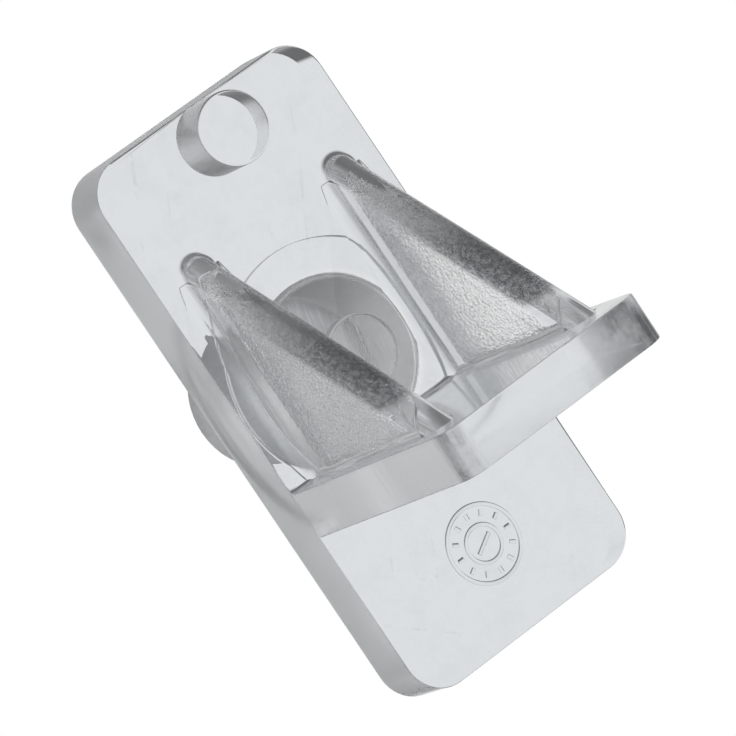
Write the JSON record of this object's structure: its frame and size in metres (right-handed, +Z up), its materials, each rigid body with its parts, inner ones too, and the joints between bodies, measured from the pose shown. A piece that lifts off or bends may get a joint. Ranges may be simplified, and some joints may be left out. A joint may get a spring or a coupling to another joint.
{
  "type": "shelf support pin",
  "caption": "Clear moulded shelf support: a flat ledge braced by two ridged gussets, on a plate with a round pin that pushes into a cabinet side.",
  "frame": {"origin": "where the pin's axis meets the plane of the plate's back face", "axes": "+Y along the pin, into the cabinet side; +Z up in use, along the plate; the ledge stands out toward -Y"},
  "size_m": [0.0112, 0.0234, 0.0241],
  "materials": {
    "clear_plastic": "clear, glossy, with a fine tool texture on the gusset sides"
  },
  "bodies": {
    "root": {"shelf_support": "clear_plastic"}
  },
  "joints": []
}
